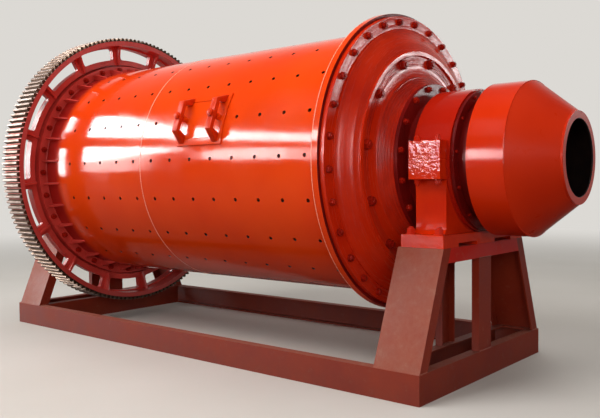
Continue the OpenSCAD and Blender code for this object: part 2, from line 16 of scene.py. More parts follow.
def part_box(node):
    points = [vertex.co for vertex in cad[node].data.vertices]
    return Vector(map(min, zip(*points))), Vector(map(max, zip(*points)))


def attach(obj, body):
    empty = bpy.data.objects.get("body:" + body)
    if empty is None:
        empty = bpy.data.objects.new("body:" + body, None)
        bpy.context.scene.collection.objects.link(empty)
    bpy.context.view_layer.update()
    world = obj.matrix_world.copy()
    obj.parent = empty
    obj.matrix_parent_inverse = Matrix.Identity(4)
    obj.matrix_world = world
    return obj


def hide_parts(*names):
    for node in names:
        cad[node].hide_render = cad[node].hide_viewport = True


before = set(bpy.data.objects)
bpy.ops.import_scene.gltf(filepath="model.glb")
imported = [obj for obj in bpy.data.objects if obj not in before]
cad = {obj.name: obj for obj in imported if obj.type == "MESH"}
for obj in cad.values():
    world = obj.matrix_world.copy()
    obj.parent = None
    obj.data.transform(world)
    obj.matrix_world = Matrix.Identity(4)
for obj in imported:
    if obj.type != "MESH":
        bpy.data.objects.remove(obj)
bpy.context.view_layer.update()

# %% [markdown]
# ## The camera
# The photograph was taken from the front corner on the feed side, at the height of the drum. The
# place and turn of the lens were found by matching bolt circles, hole rows and stand corners,
# so they are written here as numbers and a rotation is built from them.

# %% Camera
AXIS = 1.449                       # height of the mill axis over the floor, metres
YAW, PITCH, ROLL = 0.8782830, -0.0356958, -0.0079435
FOCAL, PHOTO_WIDTH = 738.6, 600    # pixels
SENSOR = 36                        # millimetres
lens_place = Vector((4.10727, -4.58724, 1.31031))
forward = Vector((-math.cos(YAW) * math.cos(PITCH), math.sin(YAW) * math.cos(PITCH),
                  math.sin(PITCH)))
level_right = forward.cross(Vector((0, 0, 1))).normalized()
level_up = level_right.cross(forward)
right = level_right * math.cos(ROLL) + level_up * math.sin(ROLL)
upward = level_up * math.cos(ROLL) - level_right * math.sin(ROLL)
lens = bpy.data.cameras.new("photo_lens")
lens.sensor_width = SENSOR
lens.lens = FOCAL / PHOTO_WIDTH * SENSOR
lens.clip_end = 200
camera = bpy.data.objects.new("photo_camera", lens)
bpy.context.scene.collection.objects.link(camera)
turn = Matrix((right, upward, -forward)).transposed().to_4x4()
camera.matrix_world = Matrix.Translation(lens_place) @ turn
bpy.context.scene.camera = camera
print("camera lens:", round(lens.lens, 2), "mm")

# %% [markdown]
# ## Small helpers
# Blender's operators act on whatever is selected, so one helper selects exactly what is named.
# Two more find points on the drum: an angle is measured up from the front side of the axis.

# %% Selecting and placing
def pick(*pieces):
    """Selects these pieces alone, the first one active."""
    bpy.ops.object.select_all(action="DESELECT")
    for piece in pieces:
        piece.select_set(True)
    bpy.context.view_layer.objects.active = pieces[0]


def drum_point(x, radius, degrees):
    """A point at a radius and an angle above the front horizontal."""
    angle = math.radians(degrees)
    return Vector((x, -radius * math.cos(angle), AXIS + radius * math.sin(angle)))


def join(name, pieces):
    """Joins copies into one piece."""
    pick(*pieces)
    if len(pieces) > 1:
        bpy.ops.object.join()
    whole = bpy.context.view_layer.objects.active
    whole.name = name
    whole.data.name = name
    return whole


def place_copies(name, pattern, places):
    """One piece from copies of a pattern, each with its own mesh."""
    copies = []
    for place in places:
        copy = pattern.copy()
        copy.data = pattern.data.copy()
        copy.data.transform(place)
        bpy.context.scene.collection.objects.link(copy)
        copies.append(copy)
    whole = join(name, copies)
    print(name, "copies:", len(places), "faces:", len(whole.data.polygons))
    return whole


# %% [markdown]
# ## Shader helpers
# Colours are picked as sRGB hex values, as on a paint card, and one function turns them to the
# linear numbers that a shader adds up. Another adds any shader node with its settings and links;
# a node that is given as a source stands for its first output.

# %% Colour and node helpers
def linear(code):
    """sRGB hex to linear RGBA."""
    values = [int(code[i:i + 2], 16) / 255 for i in (1, 3, 5)]
    return [v / 12.92 if v <= 0.04045 else ((v + 0.055) / 1.055) ** 2.4 for v in values] + [1]


def output_of(source):
    """A socket itself, or the first output of a node."""
    return source if isinstance(source, bpy.types.NodeSocket) else source.outputs[0]


def add(tree, kind, settings=None, links=None):
    """Adds a node; settings name its sockets or properties, links give sockets their source."""
    node = tree.nodes.new(kind)
    for name, value in (settings or {}).items():
        if isinstance(name, int) or name in node.inputs:
            node.inputs[name].default_value = value
        else:
            setattr(node, name, value)
    for name, source in (links or {}).items():
        tree.links.new(output_of(source), node.inputs[name])
    return node


def new_finish(name, **sockets):
    """A material with one Principled shader; uniform values go on its own sockets."""
    material = bpy.data.materials.new(name)
    material.use_nodes = True
    tree = material.node_tree
    for socket, value in sockets.items():
        tree.nodes["Principled BSDF"].inputs[socket.replace("_", " ")].default_value = value
    return material, tree, add(tree, "ShaderNodeTexCoord").outputs["Object"]


def wire(tree, **patterns):
    """Links patterns to the sockets of the Principled shader."""
    shader = tree.nodes["Principled BSDF"]
    for socket, source in patterns.items():
        tree.links.new(output_of(source), shader.inputs[socket.replace("_", " ")])


def two_tones(tree, factor, first, second, low=0.3, high=0.7):
    """A colour ramp between two hex colours over part of a pattern's range."""
    ramp = add(tree, "ShaderNodeValToRGB", links={"Fac": factor})
    ramp.color_ramp.elements[0].position = low
    ramp.color_ramp.elements[1].position = high
    ramp.color_ramp.elements[0].color = linear(first)
    ramp.color_ramp.elements[1].color = linear(second)
    return ramp


def tinted(tree, under, mask, code):
    """Lays a hex tone over a colour where the mask is one."""
    return add(tree, "ShaderNodeMix", {"data_type": "RGBA", 7: linear(code)},
               {0: mask, 6: under}).outputs[2]


def from_axis(tree, where):
    """A spot's offset from the mill axis, its spoke without x, and its radius."""
    centred = add(tree, "ShaderNodeVectorMath", {"operation": "SUBTRACT",
                  1: (0, 0, AXIS)}, {0: where})
    apart = add(tree, "ShaderNodeSeparateXYZ", links={0: centred})
    spoke = add(tree, "ShaderNodeCombineXYZ", links={"Y": apart.outputs["Y"],
                "Z": apart.outputs["Z"]})
    radius = add(tree, "ShaderNodeVectorMath", {"operation": "LENGTH"}, {0: spoke})
    return apart, spoke, radius.outputs["Value"]


# %% [markdown]
# ## Gloss enamel on the drum
# The drum is rolled steel plate sprayed with vermilion alkyd enamel. Alkyd enamel is a glossy
# dielectric (IOR about 1.5). Rolled plate is never quite flat, so reflections waver: a slow bump
# a hand's width long gives that, and a finer one stands for orange peel, drawn coarser than
# the real 2 mm so that it shows at this distance. Dust from the shop dulls it in clouds. At the
# gear end of the shell the vermilion fades into a darker red: partly the gear's red, sprayed
# last, and partly painted shade for the dark reflection on that stretch of the shell.

# %% Gloss enamel
GLOSS = 0.25                       # how strongly most of the enamel mirrors


def gloss_enamel(name, first, second, rough_low=0.08, rough_high=0.17, wave=0.18, gloss=GLOSS,
                 darker_end=None):
    """Sprayed enamel; the last argument gives the x where a darker red starts, the x where it is
    full, its tone: partly overspray, partly painted shade.
    """
    material, tree, where = new_finish(name, IOR=1.5, Specular_IOR_Level=gloss)
    clouds = add(tree, "ShaderNodeTexNoise", {"Scale": 1.4, "Detail": 3.0}, {"Vector": where})
    colour = two_tones(tree, clouds, first, second, 0.35, 0.65)
    if darker_end:
        start, full, tone = darker_end
        wander = 0.08              # how far the edge of the darker red strays, metres
        apart = add(tree, "ShaderNodeSeparateXYZ", links={0: where})
        ragged = add(tree, "ShaderNodeMath", {"operation": "MULTIPLY_ADD", 1: wander},
                     {0: clouds, 2: apart.outputs["X"]})
        fade = add(tree, "ShaderNodeMapRange", {"From Min": start + wander / 2,
                   "From Max": full + wander / 2}, {"Value": ragged})
        colour = tinted(tree, colour, fade, tone)
    dust = add(tree, "ShaderNodeTexNoise", {"Scale": 5.0, "Detail": 6.0, "Roughness": 0.65},
               {"Vector": where})
    rough = add(tree, "ShaderNodeMapRange", {"From Min": 0.35, "From Max": 0.7,
                "To Min": rough_low, "To Max": rough_high}, {"Value": dust})
    plate = add(tree, "ShaderNodeTexNoise", {"Scale": 7.0, "Detail": 1.0}, {"Vector": where})
    peel = add(tree, "ShaderNodeTexNoise", {"Scale": 90.0, "Detail": 2.0}, {"Vector": where})
    slow = add(tree, "ShaderNodeBump", {"Strength": wave, "Distance": 0.004}, {"Height": plate})
    fine = add(tree, "ShaderNodeBump", {"Strength": 0.05, "Distance": 0.001},
               {"Height": peel, "Normal": slow})
    wire(tree, Base_Color=colour, Roughness=rough, Normal=fine)
    return material


shell_enamel = gloss_enamel("vermilion_gloss_enamel", "#EE480D", "#E63F0B")
# At the gear end the vermilion darkens: the gear's overspray, and painted shade for the dark
# reflection there.
gear_end_enamel = gloss_enamel("vermilion_with_overspray_and_painted_shade", "#EE480D", "#E63F0B",
                               darker_end=(-1.64, -1.73, "#A4201A"))
feeder_enamel = gloss_enamel("vermilion_feeder_enamel", "#D42F08", "#C92706", 0.11, 0.20, 0.10)
cone_enamel = gloss_enamel("satin_cone_enamel", "#D2300A", "#C42806", 0.26, 0.38, 0.12, 0.12)
# The beads' pale pink is a painted highlight along their crowns.
painted_highlight_enamel = gloss_enamel("painted_highlight_on_beads", "#FFB496", "#FC9878", 0.16, 0.28, 0.1)
print("enamels:", shell_enamel.name, gear_end_enamel.name, feeder_enamel.name)

# %% [markdown]
# ## Brushed enamel on the castings
# Heads and trunnions were turned on a lathe and then painted thickly by brush while turning, so
# rings of tool marks and brush marks run round them. The rings are a wave over the distance
# from the axis less the distance along it, broken up by noise. They lie 45 mm apart on the
# heads and 26 mm apart on the necks, where the brush marks are also deeper.

# %% Brushed enamel with turned rings
def ringed_enamel(name, first, second, pitch, rings, brush):
    """Brushed enamel; rings and brush say how deep the tool marks and brush marks are."""
    material, tree, where = new_finish(name, IOR=1.5, Specular_IOR_Level=GLOSS)
    clouds = add(tree, "ShaderNodeTexNoise", {"Scale": 3.0, "Detail": 4.0}, {"Vector": where})
    apart, spoke, radius = from_axis(tree, where)
    unit = add(tree, "ShaderNodeVectorMath", {"operation": "NORMALIZE"}, {0: spoke})
    along = add(tree, "ShaderNodeMath", {"operation": "SUBTRACT"},
                {0: radius, 1: apart.outputs["X"]})
    hair = add(tree, "ShaderNodeMath", {"operation": "MULTIPLY", 1: 70.0}, {0: along})
    sweep = add(tree, "ShaderNodeVectorMath", {"operation": "SCALE", "Scale": 5.0}, {0: unit})
    across = add(tree, "ShaderNodeCombineXYZ", links={"X": hair})
    stroke = add(tree, "ShaderNodeVectorMath", {"operation": "ADD"}, {0: sweep, 1: across})
    strokes = add(tree, "ShaderNodeTexNoise", {"Scale": 1.0, "Detail": 3.0,
                  "Roughness": 0.6}, {"Vector": stroke})
    mixed = add(tree, "ShaderNodeMath", {"operation": "MULTIPLY_ADD", 1: 0.5},
                {0: strokes, 2: clouds})
    colour = two_tones(tree, mixed, first, second, 0.62, 0.92)
    rough = add(tree, "ShaderNodeMapRange", {"From Min": 0.35, "From Max": 0.68,
                "To Min": 0.16, "To Max": 0.32}, {"Value": strokes})
    phase = add(tree, "ShaderNodeMath", {"operation": "MULTIPLY", 1: 2 * math.pi / pitch},
                {0: along})
    wave = add(tree, "ShaderNodeMath", {"operation": "SINE"}, {0: phase})
    faded = add(tree, "ShaderNodeMath", {"operation": "MULTIPLY"}, {0: wave, 1: clouds})
    turned = add(tree, "ShaderNodeBump", {"Strength": rings, "Distance": 0.003}, {"Height": faded})
    brushed = add(tree, "ShaderNodeBump", {"Strength": brush, "Distance": 0.006},
                  {"Height": strokes, "Normal": turned})
    drops = add(tree, "ShaderNodeTexNoise", {"Scale": 40.0, "Detail": 3.0}, {"Vector": where})
    bumps = add(tree, "ShaderNodeBump", {"Strength": 0.1, "Distance": 0.004},
                {"Height": drops, "Normal": brushed})
    wire(tree, Base_Color=colour, Roughness=rough, Normal=bumps)
    return material


head_enamel = ringed_enamel("brushed_enamel_turned_head", "#D82E0A", "#C62206", 0.045, 0.08, 0.19)
neck_enamel = ringed_enamel("brushed_enamel_turned_neck", "#CC2C12", "#A81A08", 0.026, 0.5, 0.55)
print("ringed enamels:", head_enamel.name, neck_enamel.name)

# %% [markdown]
# ## Thick enamel on the bearings and small parts
# The bearing housings are rough castings with several coats brushed over them. The paint lies in
# soft lumps and runs a few centimetres apart, which break every reflection into patches. Bolts,
# nuts, seals, gear sides and clamp bows have the same lumps, lower and in tones of their own.
# The seals' dark red is painted shade, and the neck beside the feed bearing and the bolting face
# of the feed flange take it too.

# %% Thick enamel
def lumpy_enamel(name, first, second, size, height, rough, gloss):
    """Brushed enamel with sagging lumps; size is their count to the metre, height their depth."""
    material, tree, where = new_finish(name, Roughness=rough, IOR=1.5, Specular_IOR_Level=gloss)
    clouds = add(tree, "ShaderNodeTexNoise", {"Scale": 4.0, "Detail": 5.0}, {"Vector": where})
    colour = two_tones(tree, clouds, first, second, 0.35, 0.65)
    sagging = add(tree, "ShaderNodeMapping", {"Scale": (1.0, 1.0, 0.55)}, {"Vector": where})
    lumps = add(tree, "ShaderNodeTexNoise", {"Scale": size, "Detail": 4.0,
                "Distortion": 0.8}, {"Vector": sagging})
    bumps = add(tree, "ShaderNodeBump", {"Strength": height, "Distance": 0.006}, {"Height": lumps})
    wire(tree, Base_Color=colour, Normal=bumps)
    return material


SOLE_TOP = -0.469                  # height of the sole plate over the mill axis


def bearing_finish(name, first, second, arch_tone):
    """Lumps lie on the ears and the foot; the column and the arch of the cap stay smooth."""
    material, tree, where = new_finish(name, Roughness=0.09, IOR=1.5, Specular_IOR_Level=GLOSS)
    clouds = add(tree, "ShaderNodeTexNoise", {"Scale": 4.0, "Detail": 5.0}, {"Vector": where})
    colour = two_tones(tree, clouds, first, second, 0.35, 0.65)
    apart, _, radius = from_axis(tree, where)
    arch = add(tree, "ShaderNodeMapRange", {"From Min": 0.492, "From Max": 0.479},
               {"Value": radius})
    colour = tinted(tree, colour, arch, arch_tone)
    level = add(tree, "ShaderNodeMapRange", {"From Min": SOLE_TOP, "From Max": 0.131},
                {"Value": apart.outputs["Z"]})
    # How deep the lumps are, from the sole plate (0) to the top of the ears (1).
    zone = add(tree, "ShaderNodeValToRGB", links={"Fac": level})
    for place, amount in ((0.08, 0.5), (0.13, 0.08), (0.55, 0.08), (0.62, 0.6), (0.70, 1.0)):
        zone.color_ramp.elements.new(place).color = (amount, amount, amount, 1)
    zone.color_ramp.elements[0].color = (0.5, 0.5, 0.5, 1)
    zone.color_ramp.elements[-1].color = (1, 1, 1, 1)
    off_arch = add(tree, "ShaderNodeMath", {"operation": "SUBTRACT", 0: 1.0}, {1: arch})
    amount = add(tree, "ShaderNodeMath", {"operation": "MULTIPLY"}, {0: zone, 1: off_arch})
    lumps = add(tree, "ShaderNodeTexNoise", {"Scale": 30.0, "Detail": 3.0,
                "Roughness": 0.5}, {"Vector": where})
    bumps = add(tree, "ShaderNodeBump", {"Distance": 0.004}, {"Strength": amount, "Height": lumps})
    wire(tree, Base_Color=colour, Normal=bumps)
    return material


bearing_enamel = bearing_finish("thick_brushed_enamel", "#DE3208", "#CC2606", "#B01C0A")
bolt_enamel = lumpy_enamel("painted_bolt_enamel", "#A81C0C", "#8C140A", 40.0, 0.35, 0.3, 0.08)
nut_enamel = lumpy_enamel("painted_nut_enamel", "#D62A0A", "#BC2008", 40.0, 0.35, 0.35, 0.05)
gear_enamel = lumpy_enamel("gear_side_enamel", "#DA4A40", "#C23830", 14.0, 0.3, 0.34, 0.2)
bow_enamel = lumpy_enamel("manhole_enamel", "#E23C10", "#CC300C", 30.0, 0.12, 0.36, 0.05)
# The seals' dark red is painted shade.
painted_shade_enamel = lumpy_enamel("painted_shade_on_seals", "#7C100C", "#640C0A", 30.0, 0.4, 0.3, 0.2)
print("thick enamels:", bearing_enamel.name, bolt_enamel.name, nut_enamel.name,
      gear_enamel.name, bow_enamel.name, painted_shade_enamel.name)

# %% [markdown]
# ## Red oxide primer on the base
# The base and stands are welded from rolled steel and have one coat of red oxide primer, a flat
# brownish red. Primer is full of pigment, so it is rough and shows every patch of dust,
# rubbing and handling. Shop dirt gathers near the floor, so a height mask browns the lower part,
# and a film of pale dust settles on faces that look up. The frames on top of the stands caught
# some of the enamel that was meant for the bearings, so their primer is a brighter red.

# %% Red oxide primer
def primer_finish(name, first, second):
    """Primer in two tones under rubbed spots, shop dirt and a film of dust."""
    material, tree, where = new_finish(name, IOR=1.45, Specular_IOR_Level=0.16)
    patches = add(tree, "ShaderNodeTexNoise", {"Scale": 3.2, "Detail": 7.0,
                  "Roughness": 0.62}, {"Vector": where})
    colour = two_tones(tree, patches, first, second, 0.32, 0.68)
    rubbed = add(tree, "ShaderNodeTexNoise", {"Scale": 17.0, "Detail": 8.0,
                 "Roughness": 0.7}, {"Vector": where})
    worn = add(tree, "ShaderNodeMapRange", {"From Min": 0.58, "From Max": 0.78,
               "To Max": 0.28}, {"Value": rubbed})
    colour = tinted(tree, colour, worn, "#A9705A")
    apart = add(tree, "ShaderNodeSeparateXYZ", links={0: where})
    low = add(tree, "ShaderNodeMapRange", {"From Min": 0.0, "From Max": 0.30,
              "To Min": 0.45, "To Max": 0.0}, {"Value": apart.outputs["Z"]})
    dirt = add(tree, "ShaderNodeMath", {"operation": "MULTIPLY"}, {0: low, 1: rubbed})
    colour = tinted(tree, colour, dirt, "#5A3A2E")
    facing = add(tree, "ShaderNodeNewGeometry").outputs["Normal"]
    rising = add(tree, "ShaderNodeSeparateXYZ", links={0: facing})
    film = add(tree, "ShaderNodeMapRange", {"From Min": 0.08, "From Max": 0.30,
               "To Max": 0.5}, {"Value": rising.outputs["Z"]})
    settled = add(tree, "ShaderNodeMath", {"operation": "MULTIPLY"}, {0: film, 1: rubbed})
    colour = tinted(tree, colour, settled, "#A8806C")
    rough = add(tree, "ShaderNodeMapRange", {"From Min": 0.3, "From Max": 0.7,
                "To Min": 0.55, "To Max": 0.8}, {"Value": patches})
    grain = add(tree, "ShaderNodeTexNoise", {"Scale": 120.0, "Detail": 3.0}, {"Vector": where})
    bumps = add(tree, "ShaderNodeBump", {"Strength": 0.2, "Distance": 0.001}, {"Height": grain})
    wire(tree, Base_Color=colour, Roughness=rough, Normal=bumps)
    return material


primer = primer_finish("red_oxide_primer", "#842614", "#92321A")
oversprayed_primer = primer_finish("primer_with_overspray", "#BE1606", "#C81C08")
print("primers:", primer.name, oversprayed_primer.name)

# %% [markdown]
# ## Bare steel
# The gear teeth were cut after painting and are bare hobbed steel under a film of oil. Steel is
# a metal, so its metallic value is 1 and the default IOR stays. The tone follows the distance from
# the axis: enamel up to the roots, then steel that is dark in the gaps, a painted shade, and
# bright at the tips, a painted highlight. The cutter left marks along each tooth; they are drawn
# 5 mm apart so that they show. Plate inside the drum and feeder is unpainted and covered with
# dark mill scale.

# %% Bare steel finishes
TOOTH_ROOT, TOOTH_TIP = 1.247, 1.275   # radii of the girth gear, metres
ENAMEL_EDGE = 1.2455                   # the rim's enamel ends just under the roots


def cut_steel(name, root_shade, bright):
    """Steel that is dark at the root radius of the gear, a painted shade, and bright at the tip
    radius, a painted highlight.
    """
    material, tree, where = new_finish(name)
    bloom = add(tree, "ShaderNodeTexNoise", {"Scale": 9.0, "Detail": 6.0,
                "Roughness": 0.65}, {"Vector": where})
    radius = from_axis(tree, where)[2]
    height = add(tree, "ShaderNodeMapRange", {"From Min": TOOTH_ROOT,
                 "From Max": TOOTH_TIP}, {"Value": radius})
    # Dark tones at the roots are painted shade in the gaps; the bright tone at the tips is a
    # painted highlight.
    depth = add(tree, "ShaderNodeValToRGB", links={"Fac": height})
    for place, tone in ((0.80, root_shade[1]), (0.95, bright)):
        depth.color_ramp.elements.new(place).color = linear(tone)
    depth.color_ramp.elements[0].color = linear(root_shade[0])
    depth.color_ramp.elements[-1].color = linear(bright)
    brown = two_tones(tree, bloom, "#FFFFFF", "#C8B0A0", 0.42, 0.75)
    steel = add(tree, "ShaderNodeMix", {"data_type": "RGBA", "blend_type": "MULTIPLY",
                0: 1.0}, {6: depth, 7: brown})
    cut = add(tree, "ShaderNodeMapRange", {"From Min": ENAMEL_EDGE,
              "From Max": ENAMEL_EDGE + 0.002}, {"Value": radius})
    colour = add(tree, "ShaderNodeMix", {"data_type": "RGBA", 6: linear("#B8342C")},
                 {0: cut, 7: steel.outputs[2]})
    rough = add(tree, "ShaderNodeMapRange", {"From Min": 0.3, "From Max": 0.7,
                "To Min": 0.45, "To Max": 0.65}, {"Value": bloom})
    along = add(tree, "ShaderNodeMapping", {"Scale": (200.0, 12.0, 12.0)}, {"Vector": where})
    marks = add(tree, "ShaderNodeTexNoise", {"Scale": 1.0, "Detail": 2.0}, {"Vector": along})
    bumps = add(tree, "ShaderNodeBump", {"Strength": 0.15, "Distance": 0.001}, {"Height": marks})
    wire(tree, Base_Color=colour.outputs[2], Metallic=cut, Roughness=rough, Normal=bumps)
    return material


def scaled_plate(name):
    """Plate under a dark crust of mill scale."""
    material, tree, where = new_finish(name, Roughness=0.62, IOR=1.5)
    crust = add(tree, "ShaderNodeTexNoise", {"Scale": 12.0, "Detail": 6.0}, {"Vector": where})
    bumps = add(tree, "ShaderNodeBump", {"Strength": 0.2, "Distance": 0.002}, {"Height": crust})
    wire(tree, Base_Color=two_tones(tree, crust, "#15100F", "#2A1D18", 0.4, 0.7), Normal=bumps)
    return material


tooth_steel = cut_steel("hobbed_steel_teeth", ("#46382E", "#625042"), "#7E716A")
mill_scale = scaled_plate("dark_mill_scale")
print("steels:", tooth_steel.name, mill_scale.name)


# %% [markdown]
# ## Skins of the turned parts
# A CAD node is left as it is, but its loose triangles can't show a soft gloss. So a copy is
# taken, its triangles are merged, and its edges get a small bevel. Each corner then gets the
# exact normal of a turned surface, worked out from its own angle round the axis. That keeps
# long reflections straight where a guess from neighbouring faces would dent them.

# %% Copies with merged faces and true normals
def skin_of(node, bevel=0.0, segments=2):
    """A merged copy of a CAD node, with bevelled edges."""
    skin = cad[node].copy()
    skin.data = cad[node].data.copy()
    for key in list(skin.keys()):
        del skin[key]
    skin.parent = None
    skin.name = node + "_skin"
    skin.data.name = skin.name
    skin.data.materials.clear()
    bpy.context.scene.collection.objects.link(skin)
    pick(skin)
    bpy.ops.object.mode_set(mode="EDIT")
    bpy.ops.mesh.select_all(action="SELECT")
    bpy.ops.mesh.customdata_custom_splitnormals_clear()
    bpy.ops.mesh.remove_doubles(threshold=0.00003)
    bpy.ops.mesh.dissolve_limited(angle_limit=math.radians(0.3))
    bpy.ops.object.mode_set(mode="OBJECT")
    if bevel:
        soft = skin.modifiers.new("edges", "BEVEL")
        soft.width = bevel
        soft.segments = segments
        soft.limit_method = "ANGLE"
        soft.angle_limit = math.radians(35)
        bpy.ops.object.modifier_apply(modifier="edges")
    return skin


def turned_normals(piece, crease=38):
    """Exact corner normals for faces turned round the mill axis."""
    mesh = piece.data
    for face in mesh.polygons:
        face.use_smooth = True
    spots = np.array([v.co for v in mesh.vertices])
    limit = math.cos(math.radians(crease))
    profile, areas = [], []
    for face in mesh.polygons:
        out = np.array((face.center[1], face.center[2] - AXIS))
        out = out / max(np.linalg.norm(out), 1e-9)
        n = face.normal
        outward = n[1] * out[0] + n[2] * out[1]
        aside = n[2] * out[0] - n[1] * out[1]
        across = math.copysign(math.sqrt(max(0.0, 1 - n[0] ** 2)), outward)
        profile.append((n[0], across) if abs(aside) < 0.1 else None)
        areas.append(face.area)
    corners = [[] for _ in mesh.vertices]
    owner = [0] * len(mesh.loops)
    for face in mesh.polygons:
        for i in face.loop_indices:
            owner[i] = face.index
            corners[mesh.loops[i].vertex_index].append(i)
    normals = [None] * len(mesh.loops)
    for v, around in enumerate(corners):
        y, z = spots[v][1], spots[v][2] - AXIS
        far = math.hypot(y, z)
        bands = {}
        for i in around:
            p = profile[owner[i]]
            if p:
                key = (round(p[0], 2), round(p[1], 2))
                bands[key] = (p, max(areas[owner[i]], bands.get(key, (p, 0))[1]))
        for i in around:
            p = profile[owner[i]]
            if not p or far < 1e-6:
                normals[i] = tuple(mesh.polygons[owner[i]].normal)
                continue
            near = [(q, a * a) for q, a in bands.values() if p[0] * q[0] + p[1] * q[1] > limit]
            total = sum(a for _, a in near)
            ax = sum(q[0] * a for q, a in near) / total
            out = sum(q[1] * a for q, a in near) / total
            normals[i] = tuple(Vector((ax, out * y / far, out * z / far)).normalized())
    mesh.normals_split_custom_set(normals)
    return piece


def paint(piece, outside, inside=None, hidden=None):
    """Puts a finish on; the faces that the test calls hidden take the inside finish."""
    piece.data.materials.clear()
    piece.data.materials.append(outside)
    if inside:
        piece.data.materials.append(inside)
        for face in piece.data.polygons:
            out = Vector((0, face.center[1], face.center[2] - AXIS))
            spoke = out.normalized()
            turn = abs(face.normal.cross(spoke).x)
            face.material_index = int(hidden(face, face.normal.dot(spoke), out.length, turn))
    return piece


# %% [markdown]
# ## The drum's skins
# Shell, flanges, heads, trunnions and feeder each get a skin. Cast and machined edges have a
# bevel of two or three millimetres; the drilled shell has none, because its holes are sharp. At
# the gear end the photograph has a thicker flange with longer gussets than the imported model, so
# that skin is drawn out along the drum. Its bolt circle stays.

# %% Making the drum's skins
DRUM_INSIDE = 0.93                 # radius that holds the inner face of a head
THROAT = 0.42                      # radius that holds the bore of a trunnion
NECK, TRUNNION_PLATE = 0.54, 0.60  # radii that the neck ends in and the bolted plate starts at
NECK_START = 1.54                  # x where the neck beside the feed bearing takes the seal's painted shade
GEAR_JOINT = -0.3185 - 1.625       # x of the face that the gear and its head are bolted to
FLANGE_FACE = 0.035                # from a joint to the face that its bolt heads stand on
PROUD = 0.046                      # how far the gear-end flange stands proud of the gear's web
GUSSET_TIP = -1.68                 # x that its gussets reach


def bored(face, outward, radius, turn):
    """Inner walls and drilled holes of rolled plate."""
    return outward < -0.3 or (turn > 0.1 and abs(face.normal.x) < 0.999)


def facing_drum(face, outward, radius, turn):
    """The side of a head that looks into the drum."""
    return face.normal.x * math.copysign(1, face.center[0]) < -0.3 and radius < DRUM_INSIDE


def in_the_bore(face, outward, radius, turn):
    """The throat of a trunnion."""
    return outward < -0.3 and radius < THROAT


def bolting_face(face, outward, radius, turn):
    """The face of a shell flange that the head is bolted to; painted shade darkens its edge into a
    groove.
    """
    return face.normal.x > 0.9


def stand_proud(skin, tip):
    """Brings the flange forward of the gear's web and lets its gussets reach further."""
    face = GEAR_JOINT + FLANGE_FACE
    for vertex in skin.data.vertices:
        vertex.co.x = np.interp(vertex.co.x, [GEAR_JOINT, face, tip],
                                [GEAR_JOINT, face + PROUD, GUSSET_TIP])


# Node, bevel, finish, finish of the hidden faces, test that finds them.
turned_parts = [
    ("shell_feed_course", 0.0, shell_enamel, mill_scale, bored),
    ("shell_discharge_course", 0.0, gear_end_enamel, mill_scale, bored),
    ("feed_shell_flange", 0.003, shell_enamel, painted_shade_enamel, bolting_face),
    ("discharge_shell_flange", 0.0, gear_enamel, None, None),
    ("feed_head", 0.003, head_enamel, mill_scale, facing_drum),
    ("discharge_head", 0.003, head_enamel, mill_scale, facing_drum),
    ("feed_trunnion", 0.003, neck_enamel, mill_scale, in_the_bore),
    ("discharge_trunnion", 0.003, neck_enamel, mill_scale, in_the_bore),
    ("feeder_back_plate", 0.0015, feeder_enamel, mill_scale, bored),
    ("feeder_barrel", 0.0015, feeder_enamel, mill_scale, bored),
    ("feeder_cone", 0.0, cone_enamel, mill_scale, bored),
    ("feeder_mouth_ring", 0.002, cone_enamel, mill_scale, bored),
    ("discharge_lip", 0.003, feeder_enamel, mill_scale, bored),
    ("manhole_pad", 0.002, shell_enamel, None, None),
    ("manhole_cover", 0.002, shell_enamel, None, None),
]
for node, bevel, outside, inside, hidden in turned_parts:
    skin = skin_of(node, bevel=bevel)
    if node == "discharge_shell_flange":
        stand_proud(skin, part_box(node)[1].x)
    turned_normals(skin)
    paint(skin, outside, inside, hidden)
    if node.endswith("trunnion"):
        skin.data.materials.append(head_enamel)
        skin.data.materials.append(painted_shade_enamel)
        for face in skin.data.polygons:
            far = math.hypot(face.center[1], face.center[2] - AXIS)
            if far > TRUNNION_PLATE and face.material_index == 0:
                face.material_index = 2
            # The neck beside the feed bearing takes the painted shade of the seal.
            if far < NECK and face.center[0] > NECK_START and face.material_index == 0:
                face.material_index = 3
    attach(skin, "drum")
    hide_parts(node)
    print(skin.name, "faces:", len(skin.data.polygons))

# %% [markdown]
# ## The girth gear
# The rim and its teeth are one ring. Everything outside the roots is bare steel and the rest is
# painted, which the steel finish sorts out by radius; only the inside of the rim takes the
# enamel of the web. A bevel of one millimetre lets the 164 teeth catch the light.

# %% Gear rim and web
RIM_INSIDE = 1.225                 # radius that holds the inner face of the rim
rim = skin_of("girth_gear_rim", bevel=0.0012, segments=1)
rim.data.materials.clear()
rim.data.materials.append(gear_enamel)
rim.data.materials.append(tooth_steel)
for face in rim.data.polygons:
    far = math.hypot(face.center[1], face.center[2] - AXIS)
    side = abs(face.normal[0]) > 0.9
    face.material_index = 0 if far < RIM_INSIDE and not side else 1
turned_normals(rim, 20)
web = turned_normals(skin_of("girth_gear_web", bevel=0.003))
paint(web, gear_enamel)
for piece, node, slot in ((rim, "girth_gear_rim", "gear_steel"),
                          (web, "girth_gear_web", "dark_enamel")):
    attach(piece, "drum")
    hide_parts(node)
    print(piece.name, "faces:", len(piece.data.polygons))

# %% [markdown]
# ## Clamp bows of the manhole
# Each bow is a bent flat bar. Its corners were rounded on a grinder, so the skin gets a wide
# bevel. The studs and nuts keep theirs small.

# %% Bows and studs
for node, bevel in (("manhole_bow_left", 0.004), ("manhole_bow_right", 0.004),
                    ("manhole_studs", 0.002)):
    skin = skin_of(node, bevel=bevel)
    pick(skin)
    bpy.ops.object.shade_smooth_by_angle(angle=math.radians(40))
    paint(skin, bow_enamel)
    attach(skin, "drum")
    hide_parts(node)
    print(skin.name, "faces:", len(skin.data.polygons))

# %% [markdown]
# ## Bearings
# Caps and pedestals are iron castings. Their corners are rounded by the mould and the paint,
# so they get a bevel of three millimetres. The bush and seal ring sit inside.

